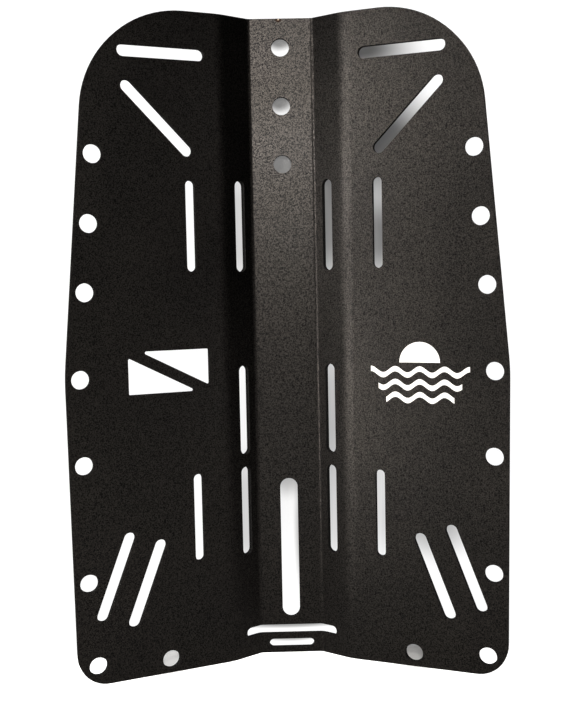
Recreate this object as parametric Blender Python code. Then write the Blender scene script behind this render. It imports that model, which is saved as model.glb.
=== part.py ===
"""Diver's backplate: one bent sheet of black anodised aluminium with a printed mark.

Metres, +Z up.  The diver's back rests against the -Y face.  The channel runs up the
middle and stands out towards +Y, where the tank goes, and the wings come forwards.
The origin is at the bottom centre of the plate.

The sheet is drawn flat and then bent.  In the flat, u runs across the sheet from the
centreline, measured along the diver's face, and z runs up from the bottom edge.
"""
import math

import bmesh
import bpy
from mathutils import Matrix, Vector

# Sheet and its cross-section.
HEIGHT = 0.4013
SHEET_THICKNESS = 0.0032
CHANNEL_HALF_WIDTH = 0.0195
WALL_WIDTH = 0.0224
WING_WIDTH = 0.0995
WALL_ANGLE = math.radians(37.3)
WING_ANGLE = math.radians(22.5)
CHANNEL_BEND_RADIUS = 0.0045
WING_BEND_RADIUS = 0.034

# Outline of the flat sheet.
WAIST_HEIGHT = 0.186
TOP_TAPER = 0.019
BOTTOM_TAPER = 0.0016
WAIST_RADIUS = 0.15
TOP_CORNER_RADIUS = 0.0635
BOTTOM_CORNER_RADIUS = 0.019

# Holes and slots down the channel.
BOLT_HOLE_DIAMETER = 0.0111
BOLT_HOLE_COUNT = 3
TOP_BOLT_DROP = 0.0175
BOLT_PITCH = 0.03575
LONG_SLOT_HEIGHT = 0.06865
LONG_SLOT_RUN = 0.0794
CROTCH_SLOT_HEIGHT = 0.0154
CROTCH_SLOT_WIDTH = 0.0059
TAIL_SLOT_HEIGHT = 0.0062
TAIL_SLOT_WIDTH = 0.0054
TAIL_SLOT_RUN = 0.0234

# Upright slots for webbing in the channel's walls, as shares of wall width and height.
WALL_SLOT_WIDTH = 0.0071
WALL_SLOT_RUN = 0.0492
WALL_SLOT_SHARE = 0.417
UPPER_SLOT_SHARE = 0.6825
LOWER_SLOT_SHARE = 0.2363
WALL_SLOT_WEB = 0.0079

# Slots in each wing: run, width, tilt, and share of wing width and of height.
SHOULDER_SLOT = (0.0463, 0.0072, 0.0, 0.3652, 0.937)
SHOULDER_SLOT_WEB = 0.0025
WING_SLOTS = (
    SHOULDER_SLOT,
    (0.0512, 0.0072, 45.5, 0.402, 0.8406),
    (0.049, 0.0059, 90.0, 0.207, UPPER_SLOT_SHARE),
    (0.0485, 0.0059, 90.0, 0.203, LOWER_SLOT_SHARE),
    (0.0487, 0.0071, -68.6, 0.7373, 0.1604),
    (0.0483, 0.0074, -68.6, 0.5433, 0.1443),
)

# Round holes along the wings' edges.
EDGE_HOLE_DIAMETER = 0.0111
EDGE_HOLE_INSET = 0.0087
EDGE_HOLE_SHARES = (0.7869, 0.6865, 0.5863, 0.4591, 0.332, 0.156)
CORNER_HOLE_INSET = 0.0121
CORNER_HOLE_HEIGHT = 0.0116
TAIL_HOLE_HEIGHT = 0.0084
TAIL_HOLE_SHARE = 0.407

# Diver-down flag: two triangles cut through one wing, on either side of a stripe.
FLAG_WIDTH = 0.0512
FLAG_HEIGHT = 0.0259
FLAG_LEG_WIDTH = 0.0436
FLAG_LEG_HEIGHT = 0.0225
FLAG_CORNER_RADIUS = 0.0009
FLAG_WING_SHARE = 0.367
FLAG_HEIGHT_SHARE = 0.4643

# Printed mark on the other wing: a half sun over three waves.
MARK_WING_SHARE = 0.4607
MARK_HEIGHT_SHARE = 0.4562
FILM_THICKNESS = 0.00015
FILM_GAP = 0.0003
SUN_RADIUS = 0.0125
WAVE_WIDTHS = (0.061, 0.0515, 0.042)
WAVE_NAMES = ("top", "middle", "bottom")
WAVE_LENGTH = 0.0152
WAVE_SWING = 0.0019
WAVE_BAND = 0.0032
WAVE_PITCH = 0.0078
WAVE_STEP = 0.0008

# Fineness of the faceted curves.
CHORD_ERROR = 0.00004
BEND_STEPS = 6
WELD_DISTANCE = 0.000002

FLAG_SIDE = -1
MARK_SIDE = 1
WING_START = CHANNEL_HALF_WIDTH + WALL_WIDTH
HALF_WIDTH = WING_START + WING_WIDTH
MID_WALL = CHANNEL_HALF_WIDTH + WALL_WIDTH / 2

# The wing bends back, so its inside is the tank side and the diver's face is outside.
CHANNEL_BEND_RUN = CHANNEL_BEND_RADIUS * WALL_ANGLE
WING_BEND_RUN = (WING_BEND_RADIUS + SHEET_THICKNESS) * (WALL_ANGLE - WING_ANGLE)
STRETCHES = (
    (CHANNEL_HALF_WIDTH - CHANNEL_BEND_RUN / 2, 0.0),
    (CHANNEL_BEND_RUN, WALL_ANGLE),
    (WALL_WIDTH - (CHANNEL_BEND_RUN + WING_BEND_RUN) / 2, 0.0),
    (WING_BEND_RUN, WING_ANGLE - WALL_ANGLE),
    (WING_WIDTH, 0.0),
)


def fold(u, depth):
    """World x and y of the flat position u, at a depth behind the diver's face."""
    x = 0.0
    y = 0.0
    heading = 0.0
    left = abs(u)
    for length, turn in STRETCHES:
        run = min(left, length)
        bend = turn * run / length
        chord = 2 * length / turn * math.sin(bend / 2) if turn else run
        x += chord * math.cos(heading + bend / 2)
        y -= chord * math.sin(heading + bend / 2)
        heading += bend
        left -= run
    x += depth * math.sin(heading)
    y += depth * math.cos(heading)
    return math.copysign(x, u), y


def bend_lines():
    """Positions in u where the flat sheet gets an edge so that it can bend."""
    lines = []
    start = 0.0
    for length, turn in STRETCHES:
        if turn:
            lines += [start + length * step / BEND_STEPS for step in range(BEND_STEPS + 1)]
        start += length
    return [side * line for side in (-1, 1) for line in lines]


def side_edge(z):
    """Half width of the flat sheet at height z, corners apart."""
    if z > WAIST_HEIGHT:
        return HALF_WIDTH - TOP_TAPER * (z - WAIST_HEIGHT) / (HEIGHT - WAIST_HEIGHT)
    return HALF_WIDTH - BOTTOM_TAPER * (WAIST_HEIGHT - z) / WAIST_HEIGHT


def wing_u(share):
    """Position in u at a share of the wing's width."""
    return WING_START + share * WING_WIDTH


def arc(centre, start, sweep):
    """Points on an arc about centre that begins at centre + start."""
    steps = max(2, math.ceil(abs(sweep) / (2 * math.acos(1 - CHORD_ERROR / start.length))))
    turns = [Matrix.Rotation(sweep * step / steps, 2) for step in range(steps + 1)]
    return [centre + turn @ start for turn in turns]


def rounded(corners):
    """Closed outline through corners of (u, z, radius), with every corner an arc."""
    points = []
    for index, (u, z, radius) in enumerate(corners):
        corner = Vector((u, z))
        back = (Vector(corners[index - 1][:2]) - corner).normalized()
        onward = (Vector(corners[(index + 1) % len(corners)][:2]) - corner).normalized()
        half_angle = back.angle(onward) / 2
        centre = corner + (back + onward).normalized() * radius / math.sin(half_angle)
        start = corner + back * radius / math.tan(half_angle) - centre
        sweep = math.copysign(math.pi - 2 * half_angle, onward.cross(back))
        points += arc(centre, start, sweep)
    return points


def round_hole(u, z, diameter):
    """Outline of a round hole."""
    return arc(Vector((u, z)), Vector((diameter / 2, 0)), 2 * math.pi)[:-1]


def slot(u, z, run, width, tilt=0.0):
    """Outline of a slot with round ends; run is the distance between their centres."""
    along = Matrix.Rotation(math.radians(tilt), 2) @ Vector((run / 2, 0))
    reach = along.orthogonal().normalized() * width / 2
    centre = Vector((u, z))
    return arc(centre + along, -reach, math.pi) + arc(centre - along, reach, math.pi)


def top_corner_radius():
    """Top corner's radius, kept small enough to leave a web past the shoulder slot's end."""
    run, width, _, wing_share, height_share = SHOULDER_SLOT
    web = width / 2 + SHOULDER_SLOT_WEB
    side_room = HALF_WIDTH - TOP_TAPER - wing_u(wing_share) - run / 2 - web
    top_room = HEIGHT * (1 - height_share) - web
    room = side_room + top_room + web + math.sqrt(2 * max(0.0, side_room * top_room))
    return min(TOP_CORNER_RADIUS, room)


def sheet_outline():
    """Outer outline of the flat sheet, both sides, anticlockwise."""
    right = [
        (HALF_WIDTH - BOTTOM_TAPER, 0.0, BOTTOM_CORNER_RADIUS),
        (HALF_WIDTH, WAIST_HEIGHT, WAIST_RADIUS),
        (HALF_WIDTH - TOP_TAPER, HEIGHT, top_corner_radius()),
    ]
    left = [(-u, z, radius) for u, z, radius in reversed(right)]
    return rounded(right + left)


def channel_openings():
    """Bolt holes and slots on the centreline."""
    openings = []
    for index in range(BOLT_HOLE_COUNT):
        z = HEIGHT - TOP_BOLT_DROP - index * BOLT_PITCH
        openings.append(round_hole(0.0, z, BOLT_HOLE_DIAMETER))
    openings.append(slot(0.0, LONG_SLOT_HEIGHT, LONG_SLOT_RUN, BOLT_HOLE_DIAMETER, 90.0))
    crotch_run = 2 * MID_WALL - CROTCH_SLOT_WIDTH
    openings.append(slot(0.0, CROTCH_SLOT_HEIGHT, crotch_run, CROTCH_SLOT_WIDTH))
    openings.append(slot(0.0, TAIL_SLOT_HEIGHT, TAIL_SLOT_RUN, TAIL_SLOT_WIDTH))
    return openings


def side_openings(side):
    """Slots and holes of one wall and wing."""
    openings = []
    wall_u = CHANNEL_HALF_WIDTH + WALL_SLOT_SHARE * WALL_WIDTH
    upper = UPPER_SLOT_SHARE * HEIGHT
    lower = LOWER_SLOT_SHARE * HEIGHT
    middle = lower + WALL_SLOT_RUN + WALL_SLOT_WIDTH + WALL_SLOT_WEB
    for z in (upper, middle, lower):
        openings.append(slot(side * wall_u, z, WALL_SLOT_RUN, WALL_SLOT_WIDTH, 90.0))
    for run, width, tilt, wing_share, height_share in WING_SLOTS:
        place = (side * wing_u(wing_share), height_share * HEIGHT)
        openings.append(slot(*place, run, width, side * tilt))
    for height_share in EDGE_HOLE_SHARES:
        z = height_share * HEIGHT
        u = side_edge(z) - EDGE_HOLE_INSET
        openings.append(round_hole(side * u, z, EDGE_HOLE_DIAMETER))
    corner_u = side_edge(CORNER_HOLE_HEIGHT) - CORNER_HOLE_INSET
    openings.append(round_hole(side * corner_u, CORNER_HOLE_HEIGHT, EDGE_HOLE_DIAMETER))
    tail_u = wing_u(TAIL_HOLE_SHARE)
    openings.append(round_hole(side * tail_u, TAIL_HOLE_HEIGHT, EDGE_HOLE_DIAMETER))
    return openings


def flag_openings():
    """The flag's two triangles, each the other turned half round."""
    centre_u = FLAG_SIDE * wing_u(FLAG_WING_SHARE)
    centre_z = FLAG_HEIGHT_SHARE * HEIGHT
    triangles = []
    for turn in (-1, 1):
        u = centre_u - turn * FLAG_WIDTH / 2
        z = centre_z - turn * FLAG_HEIGHT / 2
        triangles.append(rounded([
            (u, z, FLAG_CORNER_RADIUS),
            (u + turn * FLAG_LEG_WIDTH, z, FLAG_CORNER_RADIUS),
            (u, z + turn * FLAG_LEG_HEIGHT, FLAG_CORNER_RADIUS),
        ]))
    return triangles


def wave_outline(width, z):
    """Outline of a wavy band with its middle line at height z."""
    steps = math.ceil(width / WAVE_STEP)
    middle = []
    for step in range(steps + 1):
        u = width * (step / steps - 0.5)
        middle.append((u, z + WAVE_SWING * math.cos(2 * math.pi * u / WAVE_LENGTH)))
    lower = [Vector((u, height - WAVE_BAND / 2)) for u, height in middle]
    upper = [Vector((u, height + WAVE_BAND / 2)) for u, height in reversed(middle)]
    return lower + upper


def sun_outline(z):
    """Outline of a half disc that stands on height z."""
    return arc(Vector((0, z)), Vector((SUN_RADIUS, 0)), math.pi)


def plain_material(name, colour, roughness, metallic):
    """Principled material with a colour, a roughness and a metallic value."""
    material = bpy.data.materials.new(name)
    material.use_nodes = True
    shader = material.node_tree.nodes["Principled BSDF"]
    shader.inputs["Base Color"].default_value = (*colour, 1.0)
    shader.inputs["Roughness"].default_value = roughness
    shader.inputs["Metallic"].default_value = metallic
    return material


def flat_solid(name, outlines, thickness, material, collection):
    """Mesh object of a flat shape: first outline outside, the rest cut through it."""
    curve = bpy.data.curves.new(name + "_flat", "CURVE")
    curve.dimensions = "2D"
    curve.fill_mode = "BOTH"
    curve.extrude = thickness / 2
    for outline in outlines:
        spline = curve.splines.new("POLY")
        spline.points.add(len(outline) - 1)
        spline.use_cyclic_u = True
        for point, place in zip(spline.points, outline):
            point.co = (place.x, place.y, 0.0, 1.0)
    drawing = bpy.data.objects.new(name + "_flat", curve)
    collection.objects.link(drawing)
    evaluated = drawing.evaluated_get(bpy.context.evaluated_depsgraph_get())
    mesh = bpy.data.meshes.new_from_object(evaluated)
    mesh.name = name
    weld(mesh)
    solid = bpy.data.objects.new(name, mesh)
    solid.matrix_world = drawing.matrix_world
    collection.objects.link(solid)
    bpy.data.objects.remove(drawing)
    bpy.data.curves.remove(curve)
    mesh.materials.clear()
    mesh.materials.append(material)
    return solid


def weld(mesh):
    """Join a filled curve's caps to its sides."""
    bm = bmesh.new()
    bm.from_mesh(mesh)
    bmesh.ops.remove_doubles(bm, verts=bm.verts, dist=WELD_DISTANCE)
    bm.to_mesh(mesh)
    bm.free()


def bend_sheet(sheet):
    """Bend the flat sheet: its x becomes u, its y becomes height and its z depth."""
    bm = bmesh.new()
    bm.from_mesh(sheet.data)
    for line in bend_lines():
        everything = bm.verts[:] + bm.edges[:] + bm.faces[:]
        bmesh.ops.bisect_plane(
            bm, geom=everything, dist=WELD_DISTANCE, plane_co=(line, 0, 0), plane_no=(1, 0, 0)
        )
    for vertex in bm.verts:
        u, z, lift = vertex.co
        x, y = fold(u, SHEET_THICKNESS / 2 - lift)
        vertex.co = (x, y, z)
    bmesh.ops.triangulate(bm, faces=bm.faces)
    bm.to_mesh(sheet.data)
    bm.free()


def smooth(solid):
    """Shade round stretches smooth and keep real corners sharp."""
    solid.data.shade_smooth()
    solid.data.set_sharp_from_angle(angle=math.radians(30))


def empty(name, location, rotation, parent, collection):
    """Empty that places what is parented to it."""
    frame = bpy.data.objects.new(name, None)
    frame.location = location
    frame.rotation_euler = rotation
    frame.parent = parent
    collection.objects.link(frame)
    return frame


def build_plate(parent, collection):
    """The bent sheet with all its holes and slots."""
    black = plain_material("black_anodised_aluminium", (0.018, 0.018, 0.019), 0.45, 0.6)
    outlines = [sheet_outline()] + channel_openings() + flag_openings()
    for side in (-1, 1):
        outlines += side_openings(side)
    plate = flat_solid("backplate", outlines, SHEET_THICKNESS, black, collection)
    bend_sheet(plate)
    smooth(plate)
    plate.parent = parent


def build_mark(parent, collection):
    """The printed mark's films, laid on the diver's face of one wing."""
    white = plain_material("white_ink", (0.8, 0.8, 0.78), 0.5, 0.0)
    x, y = fold(MARK_SIDE * wing_u(MARK_WING_SHARE), -FILM_GAP - FILM_THICKNESS / 2)
    place = (x, y, MARK_HEIGHT_SHARE * HEIGHT)
    lean = (math.pi / 2, 0.0, -MARK_SIDE * WING_ANGLE)
    frame = empty("mark_frame", place, lean, parent, collection)
    shapes = {"printed_sun": sun_outline(WAVE_PITCH / 2 + WAVE_SWING)}
    for index, (width, name) in enumerate(zip(WAVE_WIDTHS, WAVE_NAMES)):
        shapes["printed_wave_" + name] = wave_outline(width, -index * WAVE_PITCH)
    for name, outline in shapes.items():
        film = flat_solid(name, [outline], FILM_THICKNESS, white, collection)
        smooth(film)
        film.parent = frame


def main():
    for thing in list(bpy.data.objects):
        bpy.data.objects.remove(thing)
    collection = bpy.data.collections.new("diver_backplate")
    bpy.context.scene.collection.children.link(collection)
    wing_tip = fold(HALF_WIDTH, 0.0)[1]
    middle = (wing_tip + SHEET_THICKNESS) / 2
    root = empty("plate_frame", (0.0, -middle, 0.0), (0.0, 0.0, 0.0), None, collection)
    build_plate(root, collection)
    build_mark(root, collection)


main()
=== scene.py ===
"""Diver's backplate: one bent sheet of black anodised aluminium with a printed mark.

Metres, +Z up.  The plate stands on its straight lower edge, with the diver's face
towards -Y and the channel behind it, just clear of a white board.
"""

import math

import bmesh
import bpy
from mathutils import Matrix, Vector


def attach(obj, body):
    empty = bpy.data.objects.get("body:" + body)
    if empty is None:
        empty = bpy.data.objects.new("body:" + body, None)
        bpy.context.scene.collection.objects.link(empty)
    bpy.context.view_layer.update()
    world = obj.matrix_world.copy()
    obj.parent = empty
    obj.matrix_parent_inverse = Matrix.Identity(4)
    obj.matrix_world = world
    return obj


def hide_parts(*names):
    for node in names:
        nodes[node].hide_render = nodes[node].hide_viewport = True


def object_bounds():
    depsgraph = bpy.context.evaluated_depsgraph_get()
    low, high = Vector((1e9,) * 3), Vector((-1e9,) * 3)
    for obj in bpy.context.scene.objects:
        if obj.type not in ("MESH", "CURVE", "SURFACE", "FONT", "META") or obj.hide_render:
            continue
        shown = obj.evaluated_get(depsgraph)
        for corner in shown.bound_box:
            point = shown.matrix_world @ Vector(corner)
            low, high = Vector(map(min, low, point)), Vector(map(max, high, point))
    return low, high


# Rounding of the sheet's edges after it was cut.
EDGE_ROUNDING = 0.0004
EDGE_SEGMENTS = 3
MERGE_DISTANCE = 0.000003
FLAT_ANGLE = math.radians(0.3)
CORNER_ANGLE = math.radians(50)
# A face is a cut side when its normal turns less than this share to front or back.
CUT_FACING = 0.7

# How far the ink lies off the sheet, and how far its film lies off it in the frame.
INK_GAP = 0.00002
FILM_GAP = 0.0003

# Grain of the satin finish: noise scales and the colours between which it varies.
GRAIN_SCALE = 1500.0
GRAIN_FINE_SCALE = 700.0
DYE_DARK = (0.0052, 0.0051, 0.0053)
DYE_LIGHT = (0.0278, 0.0257, 0.0238)
DYE_ROUGHNESS = 0.31
WORN_METAL = (0.12, 0.117, 0.112)
CUT_DARK = (0.006, 0.006, 0.0062)
CUT_LIGHT = (0.02, 0.0195, 0.019)

# Hanger's mark at the middle of the top edge: (x, y), drop from the top, and reach
# and colour of the stain and of the nick in it.
MARK_PLACE = (-0.0009, 0.0245)
MARK_DROP = 0.0006
MARKS = (
    (0.0028, (0.0055, 0.0034, 0.0024)),
    (0.0012, (0.16, 0.13, 0.1)),
)

# Camera, floor and board.
CAMERA_PLACE = (-0.01142, -0.61473, 0.24249)
CAMERA_AIM = (0.013628, 0.997091, -0.074997)
CAMERA_UP = (0.021723, 0.074691, 0.99697)
CAMERA_LENS = 51.703
SENSOR = 36.0
BOARD_GAP = 0.002
BOARD_SIZE = 6.0
BOARD_GLOW = 1.0
FLOOR_GLOW = 1.0

# Softboxes: azimuth, elevation and power in watts.
PLATE_MIDDLE = (0.0, 0.0, 0.2)
SOFTBOX_SIZE = 0.1
SOFTBOX_DISTANCE = 1.0
SOFTBOX_COLOUR = (1.0, 0.96, 0.91)
SOFTBOXES = (
    ("front_high", 0.0, 22.0, 3.7),
    ("front_middle", 0.0, 12.0, 2.8),
    ("front_low", 0.0, -8.0, 0.35),
    ("side_low", -48.0, -8.0, 3.5),
    ("side_middle", -50.0, 12.0, 3.6),
    ("side_high", -42.0, 22.0, 2.8),
    ("side_wall", -68.0, 8.0, 0.7),
    ("top", -22.0, 58.0, 5.4),
    ("right_low", 45.0, -6.0, 0.3),
    ("right_high", 45.0, 16.0, 0.3),
    ("rear_low_left", 215.0, -7.0, 1.2),
    ("rear_low_right", 140.0, -7.0, 1.2),
    ("rear_high", 195.0, 25.0, 2.0),
)
SKY_STRENGTH = 0.02

# Shade on the board behind the plate: (x, z), reach in x and z, inner share, depth.
BOARD_SHADES = (
    ((0.042, 0.295), (0.07, 0.105), 0.1, 0.5),
    ((0.035, 0.13), (0.075, 0.115), 0.1, 0.3),
    ((0.051, 0.383), (0.046, 0.021), 0.1, 0.93),
    ((0.066, 0.326), (0.05, 0.042), 0.15, 0.87),
    ((0.059, 0.266), (0.03, 0.035), 0.15, 0.7),
    ((0.0275, 0.283), (0.026, 0.06), 0.3, 0.7),
    ((0.0275, 0.158), (0.03, 0.06), 0.2, 0.4),
    ((0.0275, 0.092), (0.03, 0.05), 0.2, 0.2),
    ((0.059, 0.089), (0.03, 0.05), 0.2, 0.12),
    ((-0.0271, 0.274), (0.02, 0.05), 0.3, 0.42),
    ((-0.0271, 0.158), (0.02, 0.05), 0.3, 0.1),
    ((-0.0271, 0.092), (0.02, 0.05), 0.3, 0.4),
    ((0.0, 0.389), (0.012, 0.008), 0.3, 0.8),
    ((-0.001, 0.352), (0.0125, 0.0095), 0.3, 0.83),
    ((0.0, 0.313), (0.014, 0.014), 0.6, 0.82),
    ((0.0, 0.118), (0.02, 0.022), 0.3, 0.5),
    ((0.0062, 0.075), (0.0045, 0.05), 0.1, 0.45),
    ((0.093, 0.083), (0.04, 0.034), 0.2, 0.55),
    ((0.0, 0.0172), (0.045, 0.004), 0.3, 0.65),
    ((0.0, 0.0078), (0.022, 0.0032), 0.3, 0.5),
    ((0.079, 0.0), (0.024, 0.02), 0.5, 0.74),
    ((-0.078, 0.0), (0.024, 0.02), 0.5, 0.43),
)

# Shade on the floor between the plate and the board: (x, y), then as above.
FLOOR_SHADES = (
    ((0.078, 0.017), (0.022, 0.04), 0.4, 0.88),
    ((-0.077, 0.017), (0.022, 0.04), 0.4, 0.62),
)

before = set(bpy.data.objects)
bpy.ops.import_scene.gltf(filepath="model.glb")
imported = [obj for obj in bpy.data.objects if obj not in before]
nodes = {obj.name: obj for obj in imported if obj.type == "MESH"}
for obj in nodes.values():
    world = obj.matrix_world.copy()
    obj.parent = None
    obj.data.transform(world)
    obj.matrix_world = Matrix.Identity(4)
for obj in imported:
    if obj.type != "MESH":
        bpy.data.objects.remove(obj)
cad_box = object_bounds()


# ---------------------------------------------------------------- node groups

def group(name, inputs, outputs):
    """Empty shader node group with float inputs (name, default) and named outputs."""
    tree = bpy.data.node_groups.new(name, "ShaderNodeTree")
    for label, value in inputs:
        socket = tree.interface.new_socket(label, in_out="INPUT", socket_type="NodeSocketFloat")
        socket.default_value = value
    for label in outputs:
        tree.interface.new_socket(label, in_out="OUTPUT", socket_type="NodeSocketFloat")
    entry = tree.nodes.new("NodeGroupInput")
    leave = tree.nodes.new("NodeGroupOutput")
    return tree, entry, leave


def math_node(tree, operation, first, second=None, third=None, clamp=False):
    """Math node fed by sockets or plain numbers; returns its output."""
    node = tree.nodes.new("ShaderNodeMath")
    node.operation = operation
    node.use_clamp = clamp
    for socket, value in zip(node.inputs, (first, second, third)):
        if value is None:
            continue
        if isinstance(value, (int, float)):
            socket.default_value = value
        else:
            tree.links.new(value, socket)
    return node.outputs[0]


def noise(tree, place, scale, detail, rough):
    """Noise texture over a coordinate; returns its factor."""
    node = tree.nodes.new("ShaderNodeTexNoise")
    node.inputs["Scale"].default_value = scale
    node.inputs["Detail"].default_value = detail
    node.inputs["Roughness"].default_value = rough
    tree.links.new(place, node.inputs["Vector"])
    return node.outputs["Fac"]


def object_place(tree, scale=(1.0, 1.0, 1.0)):
    """Object coordinates, scaled."""
    coordinate = tree.nodes.new("ShaderNodeTexCoord")
    mapping = tree.nodes.new("ShaderNodeMapping")
    mapping.vector_type = "POINT"
    mapping.inputs["Scale"].default_value = scale
    tree.links.new(coordinate.outputs["Object"], mapping.inputs["Vector"])
    return mapping.outputs["Vector"]


def ramp(tree, value, low, high):
    """Value taken from low..high to 0..1, clamped."""
    node = tree.nodes.new("ShaderNodeMapRange")
    node.inputs["From Min"].default_value = low
    node.inputs["From Max"].default_value = high
    tree.links.new(value, node.inputs["Value"])
    return node.outputs["Result"]


def satin_grain_group():
    """Fine blasted grain: a tone from 0 to 1 and a height for bump."""
    tree, entry, leave = group("satin_grain", (("Coarse Share", 0.5),), ("Tone", "Height"))
    place = object_place(tree)
    coarse = noise(tree, place, GRAIN_SCALE, 2.0, 0.6)
    fine = noise(tree, place, GRAIN_FINE_SCALE, 1.0, 0.5)
    coarse_part = math_node(tree, "MULTIPLY", coarse, entry.outputs["Coarse Share"])
    rest = math_node(tree, "SUBTRACT", 1.0, entry.outputs["Coarse Share"])
    mixed = math_node(tree, "MULTIPLY_ADD", fine, rest, coarse_part)
    tree.links.new(ramp(tree, mixed, 0.4, 0.6), leave.inputs["Tone"])
    tree.links.new(mixed, leave.inputs["Height"])
    return tree


def dye_mottle_group():
    """Slow unevenness of the dyed layer, 0 to 1."""
    tree, _, leave = group("dye_mottle", (), ("Tone",))
    broad = noise(tree, object_place(tree), 16.0, 3.0, 0.55)
    tree.links.new(ramp(tree, broad, 0.3, 0.7), leave.inputs["Tone"])
    return tree


def rim_wear_group():
    """Worn spots along the rounded edges: 1 where the metal shows through."""
    tree, entry, leave = group("rim_wear", (("Amount", 0.5),), ("Mask",))
    rim = tree.nodes.new("ShaderNodeAttribute")
    rim.attribute_name = "rim"
    patches = noise(tree, object_place(tree), 45.0, 4.0, 0.65)
    nicks = noise(tree, object_place(tree), 520.0, 2.0, 0.7)
    both = math_node(tree, "MULTIPLY_ADD", nicks, 0.45, patches)
    worn = ramp(tree, both, 0.72, 0.92)
    shown = math_node(tree, "MULTIPLY", worn, rim.outputs["Fac"])
    masked = math_node(tree, "MULTIPLY", shown, entry.outputs["Amount"], clamp=True)
    tree.links.new(masked, leave.inputs["Mask"])
    return tree


def cut_lines_group():
    """Faint lines that the cutter left through the sheet's thickness, 0 to 1."""
    tree, _, leave = group("cut_lines", (), ("Tone",))
    lines = noise(tree, object_place(tree, scale=(1.0, 0.12, 1.0)), 1500.0, 2.0, 0.5)
    tree.links.new(ramp(tree, lines, 0.35, 0.65), leave.inputs["Tone"])
    return tree


def colour_mix(tree, factor, first, second, blend="MIX"):
    """Colour mix of sockets or plain colours; returns its output."""
    node = tree.nodes.new("ShaderNodeMix")
    node.data_type = "RGBA"
    node.blend_type = blend
    fed = ((node.inputs[0], factor), (node.inputs[6], first), (node.inputs[7], second))
    for socket, value in fed:
        if isinstance(value, (int, float)):
            socket.default_value = value
        elif isinstance(value, tuple):
            socket.default_value = (*value, 1.0)
        else:
            tree.links.new(value, socket)
    return node.outputs[2]


def use_group(tree, source, **values):
    """Node that places a group, with values for its inputs."""
    node = tree.nodes.new("ShaderNodeGroup")
    node.node_tree = source
    for label, value in values.items():
        node.inputs[label.replace("_", " ")].default_value = value
    return node


def bump(tree, height, strength, distance):
    """Bump node; returns its normal."""
    node = tree.nodes.new("ShaderNodeBump")
    node.inputs["Strength"].default_value = strength
    node.inputs["Distance"].default_value = distance
    tree.links.new(height, node.inputs["Height"])
    return node.outputs["Normal"]


# ---------------------------------------------------------------- materials

GRAIN = satin_grain_group()
MOTTLE = dye_mottle_group()
WEAR = rim_wear_group()
CUT = cut_lines_group()


def new_material(name):
    """Material with an empty Principled shader; returns it, its tree and the shader."""
    material = bpy.data.materials.new(name)
    material.use_nodes = True
    tree = material.node_tree
    return material, tree, tree.nodes["Principled BSDF"]


def rack_mark(tree, reach):
    """Ragged round mask where the hanger held the middle of the top edge."""
    place = object_place(tree)
    middle = tree.nodes.new("ShaderNodeVectorMath")
    middle.operation = "DISTANCE"
    tree.links.new(place, middle.inputs[0])
    middle.inputs[1].default_value = (*MARK_PLACE, cad_box[1][2] - MARK_DROP)
    ragged = noise(tree, place, 900.0, 2.0, 0.6)
    away = math_node(tree, "MULTIPLY_ADD", ragged, 0.0012, middle.outputs["Value"])
    return ramp(tree, away, reach, 0.7 * reach)


def black_anodised():
    """Dyed anodised aluminium with a fine satin grain."""
    material, tree, shader = new_material("black_anodised")
    grain = use_group(tree, GRAIN, Coarse_Share=0.8)
    mottle = use_group(tree, MOTTLE)
    wear = use_group(tree, WEAR, Amount=0.5)
    colour = colour_mix(tree, grain.outputs["Tone"], DYE_DARK, DYE_LIGHT)
    uneven = colour_mix(tree, mottle.outputs["Tone"], (0.93, 0.93, 0.94), (1.05, 1.04, 1.02))
    colour = colour_mix(tree, 1.0, colour, uneven, "MULTIPLY")
    colour = colour_mix(tree, wear.outputs["Mask"], colour, WORN_METAL)
    for reach, mark_colour in MARKS:
        colour = colour_mix(tree, rack_mark(tree, reach), colour, mark_colour)
    tree.links.new(colour, shader.inputs["Base Color"])
    rough = math_node(tree, "MULTIPLY_ADD", mottle.outputs["Tone"], 0.05, DYE_ROUGHNESS)
    tree.links.new(rough, shader.inputs["Roughness"])
    shader.inputs["Metallic"].default_value = 1.0
    tree.links.new(bump(tree, grain.outputs["Height"], 0.35, 0.00025), shader.inputs["Normal"])
    return material


def matt_cut_side():
    """Cut through the sheet's thickness: dyed black, rough and without gloss."""
    material, tree, shader = new_material("matt_cut_side")
    lines = use_group(tree, CUT)
    mottle = use_group(tree, MOTTLE)
    colour = colour_mix(tree, lines.outputs["Tone"], CUT_DARK, CUT_LIGHT)
    uneven = colour_mix(tree, mottle.outputs["Tone"], (0.85, 0.85, 0.86), (1.1, 1.1, 1.08))
    tree.links.new(colour_mix(tree, 1.0, colour, uneven, "MULTIPLY"), shader.inputs["Base Color"])
    rough = math_node(tree, "MULTIPLY_ADD", lines.outputs["Tone"], 0.15, 0.65)
    tree.links.new(rough, shader.inputs["Roughness"])
    shader.inputs["Specular IOR Level"].default_value = 0.0
    tree.links.new(bump(tree, lines.outputs["Tone"], 0.3, 0.0002), shader.inputs["Normal"])
    return material


def white_ink():
    """Thin white screen print that follows the sheet's grain."""
    material, tree, shader = new_material("white_ink")
    grain = use_group(tree, GRAIN, Coarse_Share=0.7)
    mottle = use_group(tree, MOTTLE)
    thin = ramp(tree, grain.outputs["Tone"], 0.0, 0.22)
    colour = colour_mix(tree, thin, (0.36, 0.36, 0.35), (0.8, 0.79, 0.77))
    colour = colour_mix(tree, mottle.outputs["Tone"], colour, (0.76, 0.75, 0.73))
    tree.links.new(colour, shader.inputs["Base Color"])
    rough = math_node(tree, "MULTIPLY_ADD", grain.outputs["Tone"], 0.12, 0.45)
    tree.links.new(rough, shader.inputs["Roughness"])
    tree.links.new(bump(tree, grain.outputs["Height"], 0.25, 0.0002), shader.inputs["Normal"])
    return material


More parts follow.
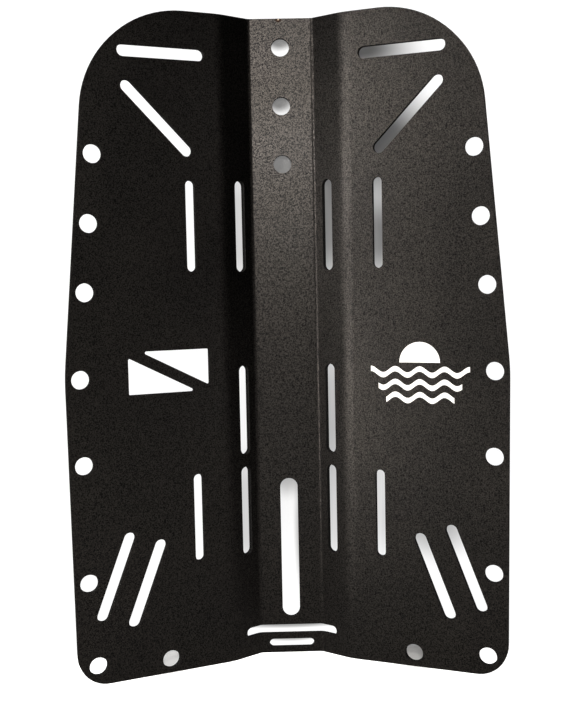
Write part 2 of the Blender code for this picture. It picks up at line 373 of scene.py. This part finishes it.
def camera_glow(tree, shader, amount):
    """Light that only the camera sees, so that a white stage doesn't shine on the plate."""
    rays = tree.nodes.new("ShaderNodeLightPath")
    glow = math_node(tree, "MULTIPLY", rays.outputs["Is Camera Ray"], amount)
    shader.inputs["Emission Color"].default_value = (1.0, 1.0, 1.0, 1.0)
    tree.links.new(glow, shader.inputs["Emission Strength"])


def soft_spot(tree, place, centre, reach, start):
    """Round soft mask: 1 at the centre, 0 past the reach; both are (along, up) in metres."""
    moved = tree.nodes.new("ShaderNodeMapping")
    moved.inputs["Location"].default_value = (-centre[0] / reach[0], -centre[1] / reach[1], 0.0)
    moved.inputs["Scale"].default_value = (1 / reach[0], 1 / reach[1], 0.0)
    tree.links.new(place, moved.inputs["Vector"])
    distance = tree.nodes.new("ShaderNodeVectorMath")
    distance.operation = "LENGTH"
    tree.links.new(moved.outputs["Vector"], distance.inputs[0])
    node = tree.nodes.new("ShaderNodeMapRange")
    node.interpolation_type = "SMOOTHSTEP"
    node.inputs["From Min"].default_value = 1.0
    node.inputs["From Max"].default_value = start
    tree.links.new(distance.outputs["Value"], node.inputs["Value"])
    return node.outputs["Result"]


def shaded(tree, shades, up_axis, glow):
    """Glow of a stage sheet, darkened by soft spots placed along x and up_axis."""
    place = tree.nodes.new("ShaderNodeSeparateXYZ")
    tree.links.new(object_place(tree), place.inputs["Vector"])
    flat = tree.nodes.new("ShaderNodeCombineXYZ")
    tree.links.new(place.outputs["X"], flat.inputs["X"])
    tree.links.new(place.outputs[up_axis], flat.inputs["Y"])
    light = glow
    for centre, reach, start, depth in shades:
        spot = soft_spot(tree, flat.outputs["Vector"], centre, reach, start)
        left = math_node(tree, "MULTIPLY_ADD", spot, -depth, 1.0)
        light = math_node(tree, "MULTIPLY", left, light)
    return light


def white_board():
    """White card with the plate's soft shade on it: only the camera sees it, from the front."""
    material, tree, shader = new_material("white_board")
    shader.inputs["Base Color"].default_value = (0.08, 0.08, 0.08, 1.0)
    shader.inputs["Roughness"].default_value = 0.9
    shader.inputs["Specular IOR Level"].default_value = 0.0
    camera_glow(tree, shader, shaded(tree, BOARD_SHADES, "Z", BOARD_GLOW))
    side = tree.nodes.new("ShaderNodeNewGeometry")
    rays = tree.nodes.new("ShaderNodeLightPath")
    front = math_node(tree, "SUBTRACT", 1.0, side.outputs["Backfacing"])
    shown = math_node(tree, "MULTIPLY", front, rays.outputs["Is Camera Ray"])
    clear = tree.nodes.new("ShaderNodeBsdfTransparent")
    choose = tree.nodes.new("ShaderNodeMixShader")
    tree.links.new(shown, choose.inputs["Fac"])
    tree.links.new(clear.outputs["BSDF"], choose.inputs[1])
    tree.links.new(shader.outputs["BSDF"], choose.inputs[2])
    tree.links.new(choose.outputs["Shader"], tree.nodes["Material Output"].inputs["Surface"])
    return material


def pale_floor():
    """Matt white floor."""
    material, tree, shader = new_material("pale_floor")
    shader.inputs["Base Color"].default_value = (0.75, 0.75, 0.75, 1.0)
    shader.inputs["Roughness"].default_value = 0.9
    shader.inputs["Specular IOR Level"].default_value = 0.0
    camera_glow(tree, shader, shaded(tree, FLOOR_SHADES, "Y", FLOOR_GLOW))
    return material


# ---------------------------------------------------------------- pieces

def put(name, mesh, *materials):
    """Object at the origin for a mesh, with its materials."""
    mesh.name = name
    piece = bpy.data.objects.new(name, mesh)
    bpy.context.scene.collection.objects.link(piece)
    for material in materials:
        mesh.materials.append(material)
    return piece


def merged_copy(node):
    """New bmesh of a node's mesh with its loose triangles joined."""
    bm = bmesh.new()
    bm.from_mesh(node.data)
    bmesh.ops.remove_doubles(bm, verts=bm.verts, dist=MERGE_DISTANCE)
    return bm


def round_edges(bm):
    """Round every sharp edge of the sheet, mark the rims, and set the cut sides apart."""
    rim = bm.faces.layers.float.new("rim")
    bmesh.ops.dissolve_limit(bm, angle_limit=FLAT_ANGLE, verts=bm.verts, edges=bm.edges)
    sharp = [e for e in bm.edges if e.is_manifold and e.calc_face_angle() > CORNER_ANGLE]
    rounded = bmesh.ops.bevel(
        bm, geom=sharp, offset=EDGE_ROUNDING, offset_type="OFFSET", segments=EDGE_SEGMENTS,
        profile=0.5, affect="EDGES", clamp_overlap=True, material=-1,
    )
    for face in rounded["faces"]:
        face[rim] = 1.0
    rims = set(rounded["faces"])
    for face in bm.faces:
        face.material_index = int(face not in rims and abs(face.normal.y) < CUT_FACING)


def plate_piece():
    """The bent sheet with rounded edges, shaded smooth over its bends."""
    bm = merged_copy(nodes["backplate"])
    round_edges(bm)
    mesh = bpy.data.meshes.new("plate")
    bm.to_mesh(mesh)
    bm.free()
    plate = put("plate", mesh, black_anodised(), matt_cut_side())
    mesh.shade_smooth()
    even = plate.modifiers.new("even_shading", "WEIGHTED_NORMAL")
    even.keep_sharp = True
    even.weight = 100
    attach(plate, "root")
    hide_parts("backplate")
    return plate


def ink_piece(name, node_name, ink):
    """One printed shape, laid down on the sheet from the height of its film."""
    bm = merged_copy(nodes[node_name])
    outward = max(bm.faces, key=lambda face: face.calc_area()).normal.copy()
    if outward.y > 0:
        outward.negate()
    bmesh.ops.translate(bm, verts=bm.verts, vec=outward * (INK_GAP - FILM_GAP))
    mesh = bpy.data.meshes.new(name)
    bm.to_mesh(mesh)
    bm.free()
    piece = put(name, mesh, ink)
    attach(piece, "root")
    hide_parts(node_name)
    return piece


# ---------------------------------------------------------------- stage

def sheet_of_stage(name, matrix, size, material):
    """Flat square of the stage."""
    bm = bmesh.new()
    bmesh.ops.create_grid(bm, x_segments=1, y_segments=1, size=size / 2)
    bmesh.ops.transform(bm, matrix=matrix, verts=bm.verts)
    mesh = bpy.data.meshes.new(name)
    bm.to_mesh(mesh)
    bm.free()
    piece = put(name, mesh, material)
    return piece


def softbox(name, azimuth, elevation, power):
    """Square area light round the plate's middle; azimuth 0 is in front, 90 on the right."""
    light = bpy.data.lights.new(name, "AREA")
    light.size = SOFTBOX_SIZE
    light.energy = power
    light.color = SOFTBOX_COLOUR
    rise = Matrix.Rotation(math.radians(-elevation), 3, "X")
    turn = Matrix.Rotation(math.radians(azimuth), 3, "Z")
    outward = turn @ rise @ Vector((0.0, -1.0, 0.0))
    lamp = bpy.data.objects.new(name, light)
    lamp.location = Vector(PLATE_MIDDLE) + outward * SOFTBOX_DISTANCE
    lamp.rotation_euler = outward.to_track_quat("Z", "Y").to_euler()
    bpy.context.scene.collection.objects.link(lamp)


def build_stage():
    """Floor, board, lights, sky and camera."""
    sheet_of_stage("floor", Matrix.Identity(4), BOARD_SIZE, pale_floor())
    upright = Matrix.Rotation(math.pi / 2, 4, "X")
    behind = Matrix.Translation((0.0, cad_box[1][1] + BOARD_GAP, 0.0))
    sheet_of_stage("board", behind @ upright, BOARD_SIZE, white_board())
    for name, azimuth, elevation, power in SOFTBOXES:
        softbox(name, azimuth, elevation, power)
    world = bpy.data.worlds.new("studio")
    world.use_nodes = True
    tree = world.node_tree
    soft = tree.nodes["Background"]
    soft.inputs["Color"].default_value = (1.0, 1.0, 1.0, 1.0)
    soft.inputs["Strength"].default_value = SKY_STRENGTH
    seen = tree.nodes.new("ShaderNodeBackground")
    seen.inputs["Color"].default_value = (1.0, 1.0, 1.0, 1.0)
    seen.inputs["Strength"].default_value = 1.0
    rays = tree.nodes.new("ShaderNodeLightPath")
    choose = tree.nodes.new("ShaderNodeMixShader")
    tree.links.new(rays.outputs["Is Camera Ray"], choose.inputs["Fac"])
    tree.links.new(soft.outputs["Background"], choose.inputs[1])
    tree.links.new(seen.outputs["Background"], choose.inputs[2])
    tree.links.new(choose.outputs["Shader"], tree.nodes["World Output"].inputs["Surface"])
    bpy.context.scene.world = world

    camera = bpy.data.cameras.new("camera")
    camera.sensor_width = SENSOR
    camera.lens = CAMERA_LENS
    camera.clip_start = 0.01
    holder = bpy.data.objects.new("camera", camera)
    back = -Vector(CAMERA_AIM).normalized()
    up = Vector(CAMERA_UP).normalized()
    side = up.cross(back).normalized()
    up = back.cross(side)
    turn = Matrix((side, up, back)).transposed()
    holder.matrix_world = Matrix.Translation(CAMERA_PLACE) @ turn.to_4x4()
    bpy.context.scene.collection.objects.link(holder)
    bpy.context.scene.camera = holder
    bpy.context.scene.view_settings.view_transform = "Standard"


plate_piece()
ink = white_ink()
ink_piece("sun", "printed_sun", ink)
for level in ("top", "middle", "bottom"):
    ink_piece("wave_" + level, "printed_wave_" + level, ink)
build_stage()
